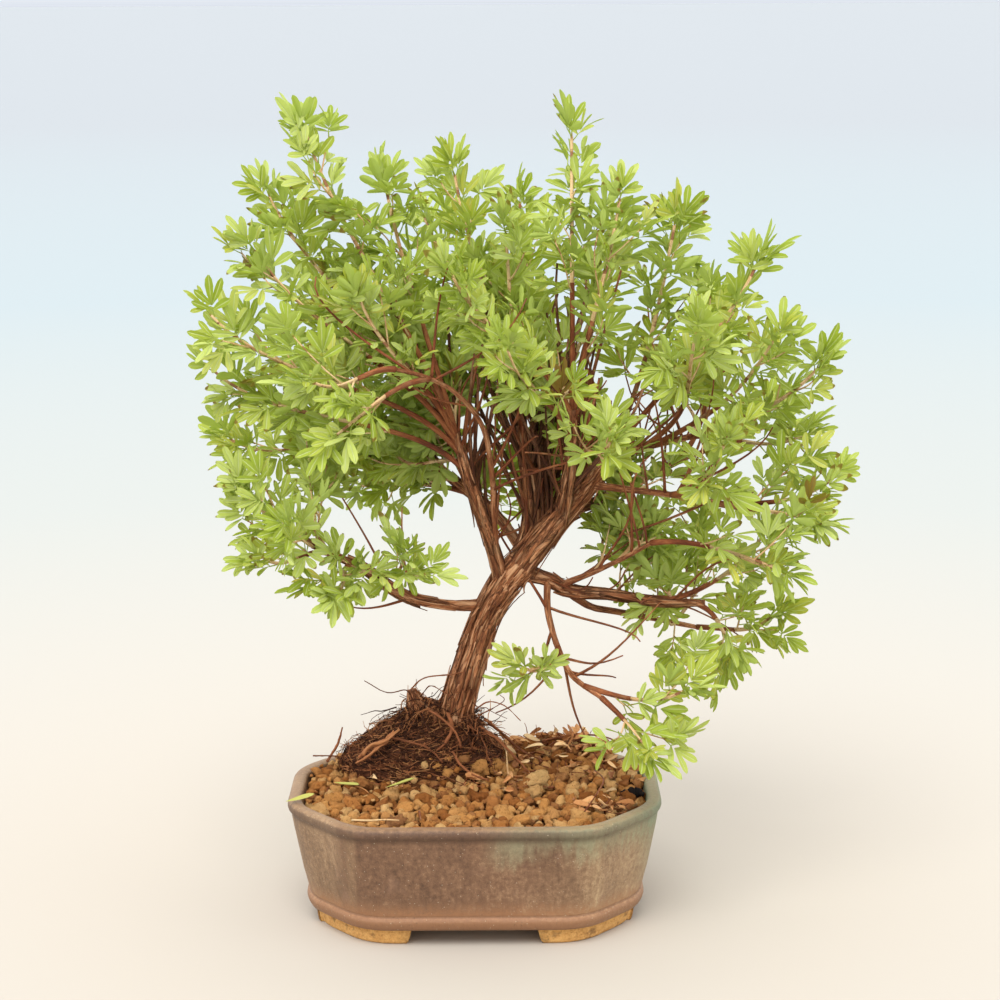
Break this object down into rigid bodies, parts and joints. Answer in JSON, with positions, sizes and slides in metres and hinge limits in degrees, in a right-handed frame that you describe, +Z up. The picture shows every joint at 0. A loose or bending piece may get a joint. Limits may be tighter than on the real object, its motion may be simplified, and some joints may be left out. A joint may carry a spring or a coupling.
{
  "type": "bonsai tree in a pot",
  "caption": "Shrubby cinquefoil bonsai with a slanting shredded-bark trunk and a fan of small five-finger leaves, in a brown-mauve and green glazed stoneware pot on four corner feet.",
  "frame": {"origin": "on the surface that the pot's feet stand on, under the middle of the whole part's box", "axes": "+Z up, the front of the tree and of the pot's long side towards -Y, the trunk slanting up towards +X"},
  "size_m": [0.2836, 0.203, 0.3522],
  "materials": {
    "glaze": "satin",
    "screen": "matte",
    "soil": "matte",
    "roots": "matte",
    "bark": "matte",
    "leaf": "satin"
  },
  "bodies": {
    "root": {"pot": "glaze", "drainage_screen_left": "screen", "drainage_screen_right": "screen", "soil": "soil", "root_mat": "roots", "trunk": "bark", "spray_01": "leaf", "spray_02": "leaf", "spray_03": "leaf", "spray_04": "leaf", "spray_05": "leaf", "spray_06": "leaf", "spray_07": "leaf", "spray_08": "leaf", "spray_09": "leaf", "spray_10": "leaf", "spray_11": "leaf", "spray_12": "leaf", "spray_13": "leaf", "spray_14": "leaf", "spray_15": "leaf", "spray_16": "leaf", "spray_17": "leaf", "spray_18": "leaf", "spray_19": "leaf", "spray_20": "leaf", "spray_21": "leaf", "spray_22": "leaf", "spray_23": "leaf", "spray_24": "leaf", "spray_25": "leaf", "spray_26": "leaf", "spray_27": "leaf", "spray_28": "leaf", "spray_29": "leaf", "spray_30": "leaf", "spray_31": "leaf", "spray_32": "leaf", "spray_33": "leaf", "spray_34": "leaf", "spray_35": "leaf", "spray_36": "leaf", "spray_37": "leaf", "spray_38": "leaf", "spray_39": "leaf", "spray_40": "leaf", "spray_41": "leaf", "spray_42": "leaf", "spray_43": "leaf", "spray_44": "leaf", "spray_45": "leaf", "spray_46": "leaf", "spray_47": "leaf", "spray_48": "leaf"}
  },
  "joints": []
}
